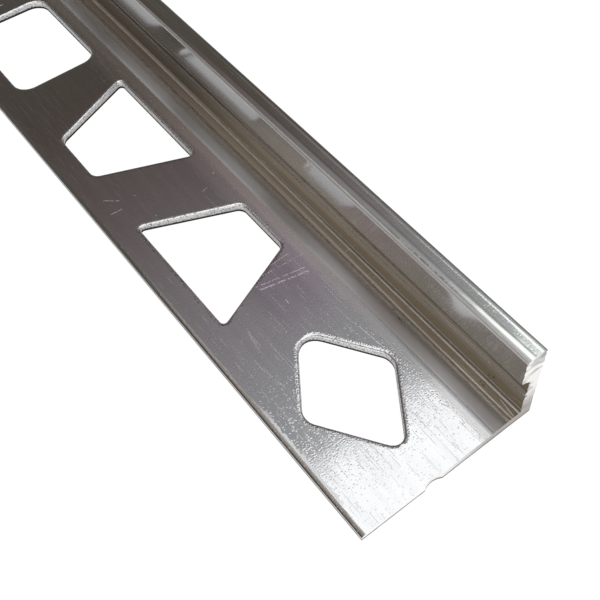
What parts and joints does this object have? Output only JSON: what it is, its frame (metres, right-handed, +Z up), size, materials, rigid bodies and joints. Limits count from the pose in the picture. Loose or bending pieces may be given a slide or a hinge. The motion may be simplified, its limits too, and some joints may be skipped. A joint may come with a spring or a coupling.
{
  "type": "tile edge trim",
  "caption": "Straight-edge aluminium tile trim in stock length: thin leg punched with a row of plain shapes, upright wall, thick head with a step below it.",
  "frame": {"origin": "middle of the length and width, on the underside of the leg", "axes": "+X along the stock to the cut end with the nick, +Y from the leg's free edge to the wall, +Z up"},
  "size_m": [2.5, 0.0234, 0.0125],
  "materials": {
    "mill_aluminium": "bright mill finish with fine extrusion lines and handling scratches"
  },
  "bodies": {
    "root": {"edge_trim": "mill_aluminium"}
  },
  "joints": []
}
